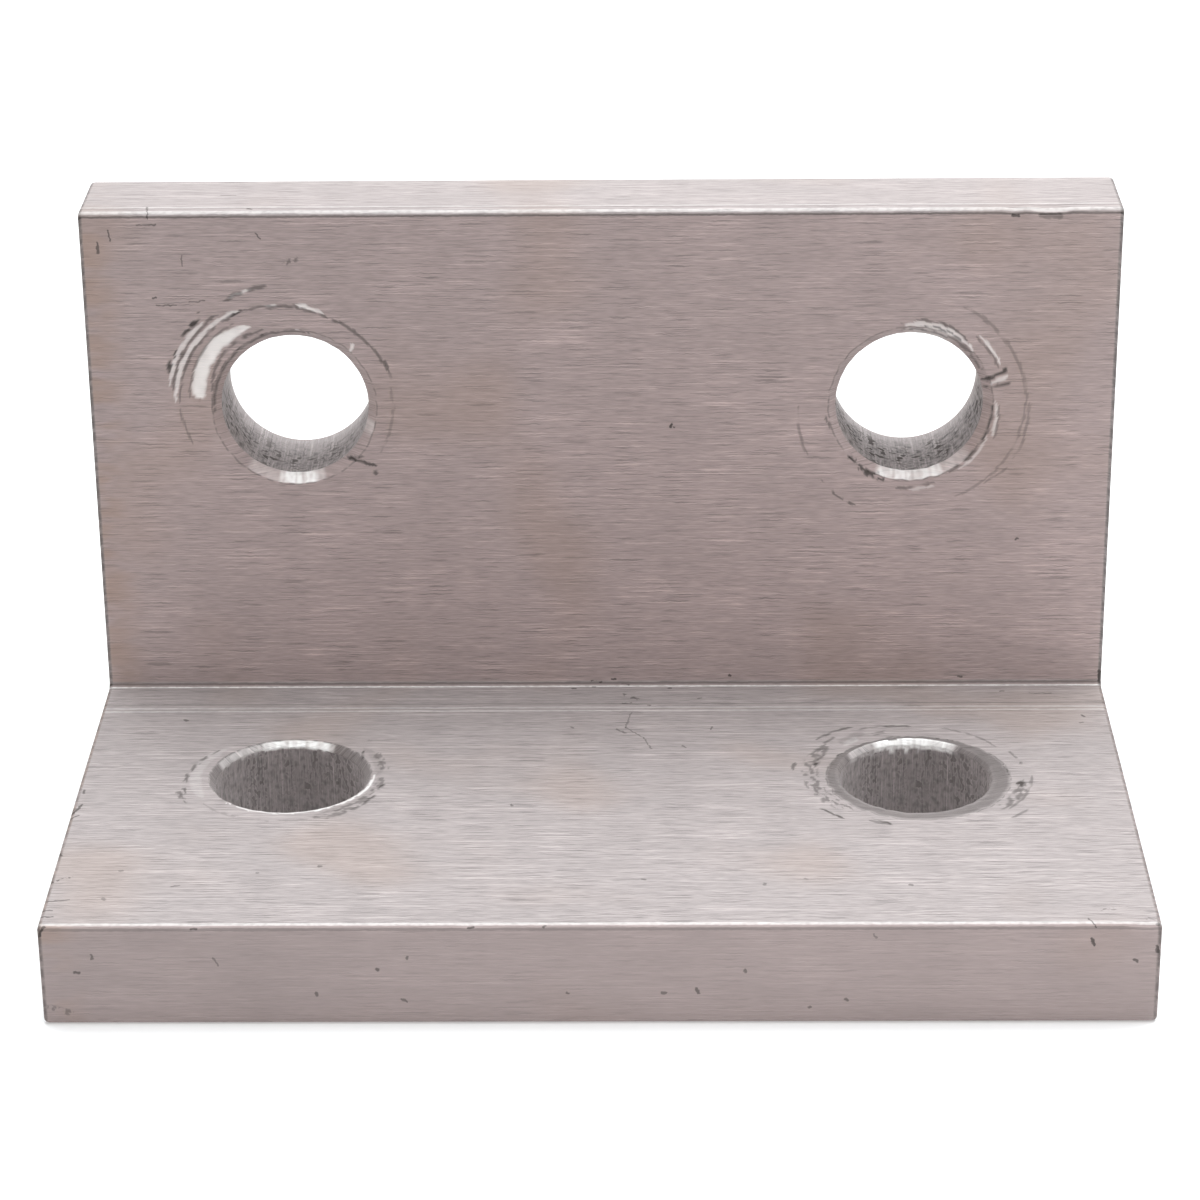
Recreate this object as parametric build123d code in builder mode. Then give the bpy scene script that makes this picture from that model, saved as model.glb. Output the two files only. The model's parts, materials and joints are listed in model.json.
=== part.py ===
"""Inside corner bracket for slotted framing.

One piece of extruded aluminium angle, sawn to length, with two bolt holes in each leg.
Frame: X along the width, the base leg lies on Z = 0 and the upright leg stands at the back, +Y.
The origin is the middle of the base leg's underside.
"""

import os
from math import hypot

from build123d import *

# Stock sizes are inch sizes, and the script's unit is the millimetre.
inch = 25.4

# The angle stock
bracket_width = 2.5 * inch
leg_height = 1.5 * inch
leg_depth = 1.5 * inch
leg_thickness = 0.25 * inch

# Edges that the extrusion die leaves along the stock
tip_radius = 0.5
heel_radius = 0.5
root_radius = 0.3

# Broken edge round each sawn end
end_break = 0.2

# Bolt holes, drilled to clear a 5/16 in bolt
hole_diameter = 23 / 64 * inch
hole_spacing = 1.5 * inch
upright_hole_height = 1.0 * inch
base_hole_setback = 0.75 * inch

# Hand deburring: the width of each hole's chamfer, and the full angle of the tool
deburr_angle = 90
upright_deburr = 0.55
base_deburr = 0.4
outer_deburr = 0.3

# On the base leg's right-hand hole a blunter tool touched down off centre as well
slip_angle = 156
slip_width = 0.95
slip_right = 0.15
slip_forward = 0.55

back_y = leg_depth / 2
front_y = -leg_depth / 2
upright_inner_y = back_y - leg_thickness
base_hole_y = back_y - base_hole_setback
hole_radius = hole_diameter / 2

# Planes on the two inner faces, each looking out of the metal, with X along the width
upright_face = Plane((0, upright_inner_y, upright_hole_height), x_dir=(1, 0, 0), z_dir=(0, -1, 0))
base_face = Plane((0, base_hole_y, leg_thickness), x_dir=(1, 0, 0), z_dir=(0, 0, 1))

with BuildPart() as corner_bracket:
    # Section of the stock: Y runs along the sketch's X, and Z along its Y
    with BuildSketch(Plane.YZ):
        with BuildLine():
            Polyline(
                (front_y, 0),
                (back_y, 0),
                (back_y, leg_height),
                (upright_inner_y, leg_height),
                (upright_inner_y, leg_thickness),
                (front_y, leg_thickness),
                close=True,
            )
        make_face()
        base_tip = vertices().group_by(Axis.X)[0]
        upright_tip = vertices().group_by(Axis.Y)[-1]
        heel = vertices().group_by(Axis.X)[-1].sort_by(Axis.Y)[0]
        root = vertices().group_by(Axis.X)[1].sort_by(Axis.Y)[0]
        fillet(base_tip + upright_tip, tip_radius)
        fillet(heel, heel_radius)
        fillet(root, root_radius)
    extrude(amount=bracket_width / 2, both=True)

    sawn_ends = faces().filter_by(Axis.X)
    chamfer(sawn_ends.edges(), end_break)

    # Drilled and deburred from the inner faces
    with Locations(upright_face):
        with GridLocations(hole_spacing, 0, 2, 1):
            CounterSinkHole(hole_radius, hole_radius + upright_deburr, counter_sink_angle=deburr_angle)
    with Locations(base_face):
        with GridLocations(hole_spacing, 0, 2, 1):
            CounterSinkHole(hole_radius, hole_radius + base_deburr, counter_sink_angle=deburr_angle)

        # The blunt tool's pilot runs inside the drilled bore, clear of its wall
        pilot_radius = hole_radius - 2 * hypot(slip_right, slip_forward)
        with Locations((hole_spacing / 2 + slip_right, -slip_forward)):
            CounterSinkHole(pilot_radius, hole_radius + slip_width, counter_sink_angle=slip_angle)

    # Outer faces, where the drill broke through
    underside = faces().sort_by(Axis.Z)[0]
    back = faces().sort_by(Axis.Y)[-1]
    outer_rims = underside.edges().filter_by(GeomType.CIRCLE) + back.edges().filter_by(GeomType.CIRCLE)
    chamfer(outer_rims, outer_deburr)

corner_bracket.part.label = "corner_bracket"
os.makedirs("parts", exist_ok=True)
export_step(corner_bracket.part, "parts/corner_bracket.step")
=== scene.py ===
"""Looks of an inside corner bracket for slotted framing.

One length of thick aluminium angle: mill finish, sawn ends, and four drilled holes deburred by hand.
Everything is in metres in the part's own frame: X along the width, +Y to the back, +Z up.
"""

import json
from dataclasses import dataclass
from functools import partial, reduce
from math import cos, pi, sin, sqrt

import bmesh
import bpy
import numpy as np
from mathutils import Matrix, Vector


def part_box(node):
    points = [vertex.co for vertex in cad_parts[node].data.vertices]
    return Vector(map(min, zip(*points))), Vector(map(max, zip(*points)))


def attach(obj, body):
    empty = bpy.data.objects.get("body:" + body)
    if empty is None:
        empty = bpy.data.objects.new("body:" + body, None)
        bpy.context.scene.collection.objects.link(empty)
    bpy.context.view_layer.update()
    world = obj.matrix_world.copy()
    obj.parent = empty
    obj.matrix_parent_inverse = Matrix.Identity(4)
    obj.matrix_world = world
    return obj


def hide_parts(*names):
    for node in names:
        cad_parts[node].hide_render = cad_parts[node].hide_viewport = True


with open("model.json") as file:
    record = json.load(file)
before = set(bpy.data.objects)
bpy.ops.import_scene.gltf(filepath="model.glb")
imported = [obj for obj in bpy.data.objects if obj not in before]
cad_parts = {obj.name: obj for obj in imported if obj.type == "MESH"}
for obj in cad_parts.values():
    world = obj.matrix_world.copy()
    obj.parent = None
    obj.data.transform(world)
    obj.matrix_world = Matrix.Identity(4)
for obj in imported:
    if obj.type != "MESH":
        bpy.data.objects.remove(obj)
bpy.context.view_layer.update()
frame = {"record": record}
low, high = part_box("corner_bracket")
mounts = {mount["name"]: mount for mount in frame["record"]["mounts"]}

MM = 0.001
DEGREE = pi / 180

# The stock and its holes, as the frame gives them
bracket_width = high.x - low.x
front_y, back_y, leg_height = low.y, high.y, high.z
hole_pitch = mounts["base_holes"]["dims"]["spacing_x_mm"] * MM
bore_radius = mounts["base_holes"]["dims"]["hole_r_mm"] * MM
base_hole_y = mounts["base_holes"]["pos_m"][1]
upright_hole_z = mounts["upright_holes"]["pos_m"][2]

# Small sizes of the section and the edges
thickness = 6.35 * MM
tip_radius = 0.36 * MM
heel_radius = 0.5 * MM
root_radius = 0.3 * MM
end_break = 0.3 * MM
outer_deburr = 0.3 * MM
upright_y = back_y - thickness
sawn_x = bracket_width / 2
face_end_x = sawn_x - end_break

# How finely the skin is divided. Shares are places along a gap, from 0 to 1.
STEPS_X, STEPS_V = 84, 76
STEPS_CORNER, STEPS_TIP_ARC, STEPS_TIP_FLAT = 4, 4, 8
STEPS_BREAK, STEPS_RING = 3, 36
BORE_SHARES = [0, 0.006, 0.03, 0.06, 0.12, 0.35, 0.65, 0.97, 1]
CHAMFER_SHARES = [0, 0.25, 0.5, 0.75, 1]
FAR_SHARES = [0, 0.10, 0.24, 0.40, 0.56, 0.71, 0.84, 0.93, 0.98, 1]
OUTER_SHARES = [0, 0.06, 0.45, 0.9, 1]
STATION_AWAY = 20 * MM
FINE_RADIUS = 8.6 * MM
PLAIN_RIM = 0.4 * MM
LEAST_GAP = 0.1 * MM


@dataclass
class Hole:
    """A hole, and the cones that the deburring tool cut: each one's offset from the hole (right, up
    the leg), width beyond the bore, and slope (depth / width). Its bright sectors, smoother metal with
    a painted highlight where the chamfer faces the light, are from, to and how bright. The bore is
    torn to a depth, as roughly as the next number, and smoothed with the painted highlight to another,
    and an unpolished cut gets painted shade."""

    leg: str
    side: int
    seed: int
    cones: list
    bright: list
    ragged: float
    torn: float
    rough: float
    polish_and_highlight_depth: float = 0.0
    painted_shade: float = 0.0


# Each hole's bright sectors paint a highlight on its chamfer where it faces the light, and the base holes'
# unpolished chamfers get painted shade
HOLES = {
    "upright left": Hole(
        "upright", -1, 11, [(0, -0.02, 0.55, 1)], [(255, 287, 0.85), (232, 256, 0.22), (338, 348, 0.3)],
        ragged=0.05, torn=4.2, rough=1.6,
    ),
    "upright right": Hole(
        "upright", 1, 12, [(0.05, 0.02, 0.52, 1)], [(246, 296, 0.7), (296, 318, 0.3), (60, 92, 0.3)],
        ragged=0.06, torn=4.8, rough=1.9,
    ),
    "base left": Hole(
        "base", -1, 13, [(0.05, -0.13, 0.37, 1.7)], [(61, 116, 1), (116, 160, 0.4)],
        ragged=0.03, torn=9, rough=1, polish_and_highlight_depth=0.5, painted_shade=0.34,
    ),
    "base right": Hole(
        "base", 1, 14, [(0, -0.06, 0.28, 1.7), (0.15, -0.65, 1.02, 0.21)], [(56, 120, 0.95), (120, 146, 0.3)],
        ragged=0.05, torn=9, rough=1, polish_and_highlight_depth=0.66, painted_shade=0.34,
    ),
}
STEEP = 1.0


# -------- shape helpers


def spread(foot, start, end, count):
    """Stations from start to end that look evenly spaced from a point STATION_AWAY off the foot:
    foot + away * tan(angle), with equal steps of the angle."""
    first, last = np.arctan((np.array([start, end]) - foot) / STATION_AWAY)
    return foot + STATION_AWAY * np.tan(np.linspace(first, last, count + 1))


def ripple(angle, seed, waves, lowest=3):
    """A smooth wave round a circle, about -1 to 1: a sum of sines with whole numbers of turns."""
    rng = np.random.default_rng(seed)
    turns = lowest + np.arange(waves)
    phase = rng.uniform(0, 2 * pi, waves)
    size = rng.uniform(0.3, 1, waves)
    total = sum(s * np.sin(n * angle + p) for s, n, p in zip(size, turns, phase))
    return total / sqrt((size**2).sum())


def smooth_step(low_end, high_end, value):
    """0 below low_end, 1 above high_end, and 3t^2 - 2t^3 between."""
    t = np.clip((value - low_end) / (high_end - low_end), 0, 1)
    return t * t * (3 - 2 * t)


FIELD_CELLS = 128


def random_field(u, v, size, seed):
    """A smooth random field, -1 to 1: random values on a square grid, and between them the four
    corners blended by 3t^2 - 2t^3 each way."""
    table = np.random.default_rng(seed).uniform(-1, 1, (FIELD_CELLS, FIELD_CELLS))
    places = u / size, v / size
    i, j = cells = [np.floor(place).astype(int) for place in places]
    s, t = (smooth_step(0, 1, place - cell) for place, cell in zip(places, cells))
    i, far_i = i % FIELD_CELLS, (i + 1) % FIELD_CELLS
    near, far = (
        table[i, row] * (1 - s) + table[far_i, row] * s for row in (j % FIELD_CELLS, (j + 1) % FIELD_CELLS)
    )
    return near * (1 - t) + far * t


def unit(angle):
    """Unit vectors (cos a, sin a)."""
    return np.stack([np.cos(angle), np.sin(angle)], -1)


def arc_path(centre, radius, start, end, steps):
    """Points and outward normals (y, z) along a convex arc: centre + radius * (cos a, sin a)."""
    normal = unit(np.linspace(start, end, steps + 1) * DEGREE)
    return np.array(centre) + radius * normal, normal


def flat_path(y, z, normal):
    """Points along one flat of the section, with its normal repeated."""
    points = np.stack(np.broadcast_arrays(y, z), 1).astype(float)
    return points, np.tile(np.array(normal, float), (len(points), 1))


def join_paths(first, *others):
    """Paths end to end, with the points where they meet counted once."""
    return tuple(np.concatenate([first[i]] + [path[i][1:] for path in others]) for i in (0, 1))


def backwards(path):
    """A path of the section from its end to its start."""
    return tuple(part[::-1] for part in path)


# -------- the section

half_x = spread(hole_pitch / 2, 0, face_end_x, STEPS_X)
side_x = {1: half_x, -1: -half_x[::-1]}
all_x = np.concatenate([side_x[-1], side_x[1][1:]])

face_v = {
    "base": spread(base_hole_y, front_y + tip_radius, upright_y - root_radius, STEPS_V),
    "upright": spread(upright_hole_z, thickness + root_radius, leg_height - tip_radius, STEPS_V),
}
outer_v = {
    "base": spread(base_hole_y, front_y + tip_radius, back_y - heel_radius, STEPS_V),
    "upright": spread(upright_hole_z, heel_radius, leg_height - tip_radius, STEPS_V),
}
base_top = flat_path(face_v["base"], thickness, (0, 1))
upright_front = flat_path(upright_y, face_v["upright"], (-1, 0))
underside = flat_path(outer_v["base"], 0, (0, -1))
back = flat_path(back_y, outer_v["upright"], (1, 0))
heel = arc_path((back_y - heel_radius, heel_radius), heel_radius, -90, 0, STEPS_CORNER)
root_points, root_normals = arc_path(
    (upright_y - root_radius, thickness + root_radius), root_radius, -90, 0, STEPS_CORNER
)
root = (root_points, -root_normals)


def tip_path(leg):
    """Round a leg's free end, from its inner face to its outer one: arc, flat, arc."""
    near, far = tip_radius, thickness - tip_radius
    flat = np.linspace(far, near, STEPS_TIP_FLAT + 1)
    if leg == "base":
        end = front_y + tip_radius
        centres, turns = ((end, far), (end, near)), ((90, 180), (180, 270))
        flat = flat_path(front_y, flat, (-1, 0))
    else:
        end = leg_height - tip_radius
        centres, turns = ((upright_y + near, end), (upright_y + far, end)), ((180, 90), (90, 0))
        flat = flat_path(upright_y + flat[::-1], leg_height, (0, 1))
    arcs = [arc_path(c, tip_radius, *turn, STEPS_TIP_ARC) for c, turn in zip(centres, turns)]
    return join_paths(arcs[0], flat, arcs[1])


tips = {"base": tip_path("base"), "upright": tip_path("upright")}
inner_path = join_paths(base_top, root, upright_front)
outer_path = join_paths(underside, heel, back)


# -------- the holes


def hole_centre(hole):
    """Where the hole's axis meets its leg: along X, and along the leg."""
    leg_place = upright_hole_z if hole.leg == "upright" else base_hole_y
    return np.array([hole.side * hole_pitch / 2, leg_place])


def cone_depth(hole, across, up):
    """How deep the deburring cones cut: the deepest of slope * (cone's outer radius - distance from
    its centre), and never above the face. Also how far inside the cones' outer edge each point
    lies, and the slope that cuts deepest there."""
    angle = np.arctan2(up, across)
    depth, inside, steep = np.zeros_like(across), np.full_like(across, -1.0), np.zeros_like(across)
    for right, upward, width, slope in hole.cones:
        reach = bore_radius + width * MM + ragged_edge(hole, angle, slope)
        within = reach - np.hypot(across - right * MM, up - upward * MM)
        steep = np.where(slope * within > depth, slope, steep)
        depth = np.maximum(depth, slope * within)
        inside = np.maximum(inside, within)
    return depth, inside, steep


def ragged_edge(hole, angle, slope):
    """How far a cone's torn edge wanders at each angle, half as far where the cone is steep."""
    return (0.5 if slope >= STEEP else 1) * hole.ragged * MM * ripple(angle, hole.seed, 40)


def cone_edges(hole, angle):
    """Radii, for each angle, of the crease inside the chamfer and of its outer edge."""
    reaches = []
    for right, upward, width, slope in hole.cones:
        shift = (right * np.cos(angle) + upward * np.sin(angle)) * MM
        reaches.append(bore_radius + width * MM + shift + ragged_edge(hole, angle, slope))
    if len(reaches) == 1:
        return reaches[0], reaches[0] + PLAIN_RIM
    (steep, blunt), (slope_s, slope_b) = reaches, [cone[3] for cone in hole.cones]
    crease = (steep * slope_s - blunt * slope_b) / (slope_s - slope_b)
    crease = np.clip(crease, bore_radius + LEAST_GAP, None)
    return crease, np.maximum(blunt, crease + LEAST_GAP)


def cell_rim(xs, vs):
    """The rectangle's border, anticlockwise from its lower left corner, closed on itself."""
    sides = [(xs[:-1], vs[0]), (xs[-1], vs[:-1]), (xs[:0:-1], vs[-1]), (xs[0], vs[:0:-1])]
    loop = np.concatenate([np.stack(np.broadcast_arrays(x, v), 1) for x, v in sides])
    return np.concatenate([loop, loop[:1]])


def radii_between(stops, shares):
    """Rows of radii from one stop to the next, at the gap's shares. A stop is a radius per angle."""
    rows = [stops[0][None]]
    for near, far, share in zip(stops[:-1], stops[1:], shares):
        rows.append(near + (far - near) * np.asarray(share)[1:, None])
    return np.concatenate(rows)


def rays_to_border(hole, leg_stations):
    """Rays from a hole's centre to the stations on its cell's border: the centre, and each ray's
    angle, unit vector and length."""
    centre = hole_centre(hole)
    spokes = cell_rim(side_x[hole.side], leg_stations) - centre
    angle = np.arctan2(spokes[:, 1], spokes[:, 0])
    return centre, angle, unit(angle), np.hypot(*spokes.T)


def inner_cell(hole):
    """The face round a hole as rays, centre + radius * (cos a, sin a), from the bore to the border."""
    centre, angle, ray, reach = rays_to_border(hole, face_v[hole.leg])
    crease, edge = cone_edges(hole, angle)
    radii = radii_between(
        [np.full_like(reach, bore_radius), crease, edge, np.full_like(reach, FINE_RADIUS), reach],
        [CHAMFER_SHARES, CHAMFER_SHARES, np.linspace(0, 1, STEPS_RING), FAR_SHARES],
    )
    return angle, centre + ray * radii[..., None]


def outer_cell(hole):
    """The outer face round a hole, as rays from the bore over the small chamfer to the border."""
    centre, angle, ray, reach = rays_to_border(hole, outer_v[hole.leg])
    start = np.full_like(reach, bore_radius)
    radii = radii_between([start, start + outer_deburr, reach], [[0, 0.5, 1], OUTER_SHARES])
    depth = np.clip(start + outer_deburr - radii, 0, None)
    return angle, centre + ray * radii[..., None], depth


def on_leg(leg, flat, into):
    """Points on a leg from (x, along the leg) and the depth below its inner face."""
    x, v = flat[..., 0], flat[..., 1]
    into = np.broadcast_to(into, x.shape)
    if leg == "upright":
        return np.stack([x, upright_y + into, v], -1)
    return np.stack([x, v, thickness - into], -1)


def bore_wall(hole, inner_angle, outer_angle):
    """The bore as a tube: angle and depth both run from the inner rim to the outer one. Its first
    row lies on the inner face, until the deburring cone lowers it."""
    centre = hole_centre(hole)
    turn = np.unwrap(outer_angle - inner_angle)
    turn -= 2 * pi * np.round(turn.mean() / (2 * pi))
    share = np.array(BORE_SHARES)[:, None]
    angle = inner_angle + turn * share
    rim = bore_radius * unit(angle)
    start, _, _ = cone_depth(hole, *rim[0].T)
    depth = start + (thickness - outer_deburr - start) * share
    depth[0] = 0
    return on_leg(hole.leg, centre + rim, depth)


# -------- the whole skin


def strip(path, xs):
    """A path of the section drawn out along X."""
    yz = np.repeat(path[0][:, None], len(xs), 1)
    return np.concatenate([np.broadcast_to(xs[:, None], yz.shape[:2] + (1,)), yz], -1)


def inset(path, amount):
    """A path of the section moved into the metal along its normals."""
    return path[0] - amount * path[1]


def broken_edge(side):
    """The broken edge round a sawn end: the section shrinks by e(1 - cos a) while X grows by
    e sin a, with a from 0 to a right angle."""
    loop = join_paths(inner_path, tips["upright"], backwards(outer_path), backwards(tips["base"]))
    rows = []
    for a in np.linspace(0, pi / 2, STEPS_BREAK + 1):
        yz = inset(loop, end_break * (1 - cos(a)))
        x = np.full((len(yz), 1), side * (face_end_x + end_break * sin(a)))
        rows.append(np.concatenate([x, yz], 1))
    return np.stack(rows)


def sawn_end(side):
    """A sawn end: straight rungs from the inner to the outer path, bent near each tip to end as the
    tip's own outline."""
    inner, outer = inset(inner_path, end_break), inset(outer_path, end_break)
    first, last = inset(tips["base"], end_break), inset(tips["upright"], end_break)
    share = ((first[:, 1] - first[0, 1]) / (first[-1, 1] - first[0, 1]))[None, :, None]
    grid = inner[:, None] * (1 - share) + outer[:, None] * share
    run = np.linspace(0, 1, len(inner))[:, None, None]
    for tip, fade in ((first, 1 - run), (last, run)):
        chord = tip[0] * (1 - share) + tip[-1] * share
        grid = grid + np.clip(fade * 12 - 11, 0, 1) ** 2 * (tip[None] - chord)
    x = np.full(grid.shape[:2] + (1,), side * sawn_x)
    return np.concatenate([x, grid], -1)


SAME_PLACE = 1e-7
BORE, SAWN, EDGE, OUTER = 20, 30, 40, 50


def weld(grids):
    """All grids, each (points, label), as one closed skin, where points at one place are one vertex.
    Gives the points, the quads, and each point's first label."""
    points, labels, quads, count = [], [], [], 0
    for grid, label in grids:
        size = grid.shape[0] * grid.shape[1]
        index = count + np.arange(size).reshape(grid.shape[:2])
        corners = (index[:-1, :-1], index[:-1, 1:], index[1:, 1:], index[1:, :-1])
        quads.append(np.stack(corners, -1).reshape(-1, 4))
        points.append(grid.reshape(-1, 3))
        labels.append(np.full(size, label))
        count += size
    points, labels, quads = (np.concatenate(part) for part in (points, labels, quads))
    places = np.round(points / SAME_PLACE).astype(np.int64)
    _, first, where = np.unique(places, axis=0, return_index=True, return_inverse=True)
    return points[first], where.reshape(-1)[quads], labels[first]


def build_skin():
    """The whole skin before its marks, with a label on every point. An inner face takes the number of
    its hole, and a bore takes BORE plus that number."""
    grids = []
    for number, hole in enumerate(HOLES.values()):
        inner_angle, face = inner_cell(hole)
        outer_angle, far_face, depth = outer_cell(hole)
        grids.append((on_leg(hole.leg, face, 0.0), number))
        grids.append((on_leg(hole.leg, far_face, thickness - depth), OUTER))
        grids.append((bore_wall(hole, inner_angle, outer_angle), BORE + number))
    for path in (root, heel, tips["base"], tips["upright"]):
        grids.append((strip(path, all_x), EDGE))
    for side in (-1, 1):
        grids.append((broken_edge(side), EDGE))
        grids.append((sawn_end(side), SAWN))
    return weld(grids)


# -------- marks in the metal


@dataclass
class Arc:
    """A mark along an arc round a hole, in millimetres and degrees. The radius goes from start to end
    as the angle turns, and bows outwards between. The width opens over the first share of the
    length and closes over the last. Tone is 0 to 1 for bared metal, partly a painted highlight, and
    0 to -1 for a dark line, rise is up for a burr, and a scuffed arc is flecks."""

    start: float
    end: float
    turn_from: float
    turn_to: float
    half_width: float
    tone: float
    bow: float = 0.0
    ends: tuple = (0.15, 0.15)
    rise: float = 0.0
    scuffed: bool = False


@dataclass
class Scratch:
    """A straight mark from (x, v), with how far it runs each way, in millimetres."""

    x: float
    v: float
    run_x: float
    run_v: float
    half_width: float
    tone: float
    scuffed: bool = False


Scuff, Scrape = partial(Arc, scuffed=True), partial(Scratch, scuffed=True)

# Marks that the tools and the bolt heads left round each hole
HOLE_MARKS = {
    "upright left": [
    Arc(5.85, 5.85, 115, 175, 0.5, 0.78, bow=0.35, ends=(0.35, 0.06), rise=-0.24),
    Arc(7.12, 7.35, 116, 178, 0.17, 0.55, bow=0.12, ends=(0.2, 0.2), rise=-0.05),
    Arc(7.8, 7.8, 134, 169, 0.17, 0.5, bow=0.08, ends=(0.2, 0.2), rise=-0.05),
    Arc(7.58, 7.56, 126, 172, 0.09, -0.5, bow=0.06), Arc(7, 7.1, 113, 178, 0.09, -0.5, bow=0.06),
    Scuff(8.14, 8.08, 132, 165, 0.14, -0.8), Arc(6.55, 6.48, 122, 176, 0.08, -0.35, bow=0.12),
    Arc(5.38, 5.22, 108, 168, 0.09, -0.5, bow=0.2), Arc(4.96, 5, 74, 184, 0.08, -0.6),
    Arc(6.78, 7.05, 100, 122, 0.08, -0.45), Arc(6.5, 6.72, 71, 87, 0.17, 0.62, ends=(0.5, 0.1), rise=0.03),
    Arc(6.28, 6.52, 68, 88, 0.08, -0.5), Arc(6.3, 6.28, 22, 68, 0.1, -0.5),
    Arc(6.42, 6.44, 17, 29, 0.1, -0.55), Arc(6.05, 6.15, 330, 372, 0.1, -0.22),
    Arc(6.64, 6.66, 86, 104, 0.1, -0.45), Arc(6.78, 6.8, 97, 103, 0.09, 0.5),
    Arc(7.15, 6.82, 180, 201, 0.09, -0.35), Arc(4.95, 4.98, 41, 51, 0.16, 0.55),
    Arc(4.98, 5, 82, 87, 0.1, 0.5), Arc(4.9, 4.92, 338, 347, 0.12, 0.6), Arc(4.92, 4.92, 0, 6, 0.1, 0.4),
    Arc(8.08, 8.08, 100, 120, 0.15, -0.5), Arc(8.1, 8.1, 106, 117, 0.09, 0.55),
    Scratch(3.35, -3.45, 1.6, -0.5, 0.11, -0.75), Scratch(3.2, -3.5, 0.9, 0.2, 0.1, -0.45),
    Scratch(4.85, -4.35, 0.1, -0.1, 0.14, -0.6), Scratch(3.62, 3.75, 0.1, 0.35, 0.12, 0.6),
    Scrape(-6.1, 5.4, 0.5, 0.8, 0.16, -0.7),
    ],
    "upright right": [
    Arc(5.22, 5.22, 48, 95, 0.26, 0.55, bow=0.12, ends=(0.25, 0.4), rise=-0.06),
    Arc(5.42, 5.32, 50, 97, 0.08, -0.5, bow=0.28), Arc(5.2, 5.2, 52, 84, 0.05, -0.6, bow=0.1),
    Arc(4.92, 4.92, 20, 100, 0.09, -0.5), Arc(6.1, 6.15, 26, 47, 0.12, 0.6, ends=(0.2, 0.4), rise=0.05),
    Arc(5.92, 5.95, 24, 48, 0.08, -0.4), Arc(5.55, 5.32, -22, 2, 0.11, 0.45, rise=0.05),
    Arc(5.72, 5.48, -24, 0, 0.09, -0.35), Arc(5.32, 5.3, -54, -24, 0.12, 0.4, rise=0.05),
    Arc(5.14, 5.16, -62, 0, 0.09, -0.45), Arc(5.62, 5.45, 262, 288, 0.09, -0.4, bow=-0.06),
    Arc(5.6, 5.66, 270, 288, 0.09, 0.35), Arc(7.22, 7.1, -2, 63, 0.13, -0.27),
    Arc(6.85, 7.18, 294, 362, 0.09, -0.26), Arc(7.12, 7.4, 312, 326, 0.09, -0.28),
    Arc(7.45, 7.36, 332, 362, 0.09, -0.28, bow=0.06), Arc(6.85, 7.15, 181, 208, 0.09, -0.32),
    Scuff(7.42, 7.42, 221, 244, 0.12, -0.55), Arc(5.2, 5.18, 188, 198, 0.08, -0.5),
    Scuff(5.15, 5.15, 232, 254, 0.24, -0.8), Arc(5.05, 5.03, 222, 230, 0.12, -0.7),
    Scratch(4.62, 1.05, 1.48, 0.35, 0.09, -0.7), Scratch(4.5, 1.5, 1.45, 0.85, 0.1, -0.85),
    Scratch(4.75, 1.25, 1.2, 0.55, 0.15, 0.5), Scratch(3.55, 3.85, 0.25, -0.4, 0.13, 0.6),
    Scratch(-6.65, 1.15, -0.05, 0.05, 0.1, -0.6),
    ],
    "base left": [
    Arc(5.16, 5.16, -135, 2, 0.1, 0.75, ends=(0.5, 0.1)), Scuff(6.45, 5.95, 288, 352, 0.12, -0.45),
    Scuff(5.95, 5.75, 288, 356, 0.36, -0.42), Arc(5.65, 5.55, 290, 356, 0.2, -0.14),
    Scuff(5.75, 5.85, 4, 30, 0.34, -0.42), Arc(5.45, 5.55, 0, 40, 0.3, -0.14),
    Scuff(5.65, 6.85, 142, 210, 0.14, -0.6, bow=-0.12), Arc(5.55, 5.85, 140, 212, 0.4, 0.12),
    Scuff(6.25, 6.1, 218, 292, 0.16, -0.22), Scuff(6.95, 6.95, 198, 213, 0.2, -0.55),
    Scratch(4.3, 2.3, 0, 0.85, 0.09, -0.7), Scratch(4.45, 4.55, 0.1, 0.05, 0.16, -0.5),
    ],
    "base right": [
    Arc(5.05, 5.25, 146, 232, 0.1, -0.55, bow=0.1), Arc(5.72, 5.62, 300, 372, 0.09, -0.3),
    Scuff(5.02, 4.98, 60, 112, 0.1, -0.45), Arc(4.72, 5.1, 14, 60, 0.09, -0.45),
    Arc(7.28, 7.42, 118, 142, 0.12, -0.6), Arc(6.8, 6.7, 134, 143, 0.12, -0.45),
    Arc(6.45, 6.5, 89, 104, 0.16, -0.5), Arc(6.6, 6.75, 98, 118, 0.1, -0.35),
    Arc(6.25, 6.52, 34, 74, 0.11, -0.38), Arc(6.62, 6.62, 16, 26, 0.1, -0.45),
    Arc(6.62, 6.6, 9, 12, 0.12, -0.6), Arc(7.4, 7.42, 169, 177, 0.14, -0.55),
    Arc(6, 6.15, 155, 174, 0.1, -0.5), Scuff(6.4, 6.45, 140, 232, 0.55, -0.5),
    Arc(7.6, 7.6, 219, 233, 0.1, -0.4), Arc(7, 7, 243, 257, 0.16, -0.4),
    Scuff(6.75, 6.6, 312, 352, 0.42, -0.5), Arc(7.15, 7.05, 318, 356, 0.12, -0.4),
    Arc(8.05, 8.05, 312, 323, 0.1, -0.4), Arc(5.8, 5.6, 124, 138, 0.28, 0.22),
    Scratch(6.15, -1.45, 0.45, -0.1, 0.16, -0.75), Scratch(6.25, -1.55, 0.05, -0.35, 0.12, -0.75),
    Scrape(-2.2, 5.3, 0.65, 0.35, 0.24, -0.45), Scratch(-4.1, 4.3, 0.9, 1, 0.45, -0.22),
    Scratch(-5.9, -4.8, 1.2, -1.2, 0.1, -0.4), Scratch(-2.9, -6, 1.1, -0.8, 0.12, -0.35),
    ],
}

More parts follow.
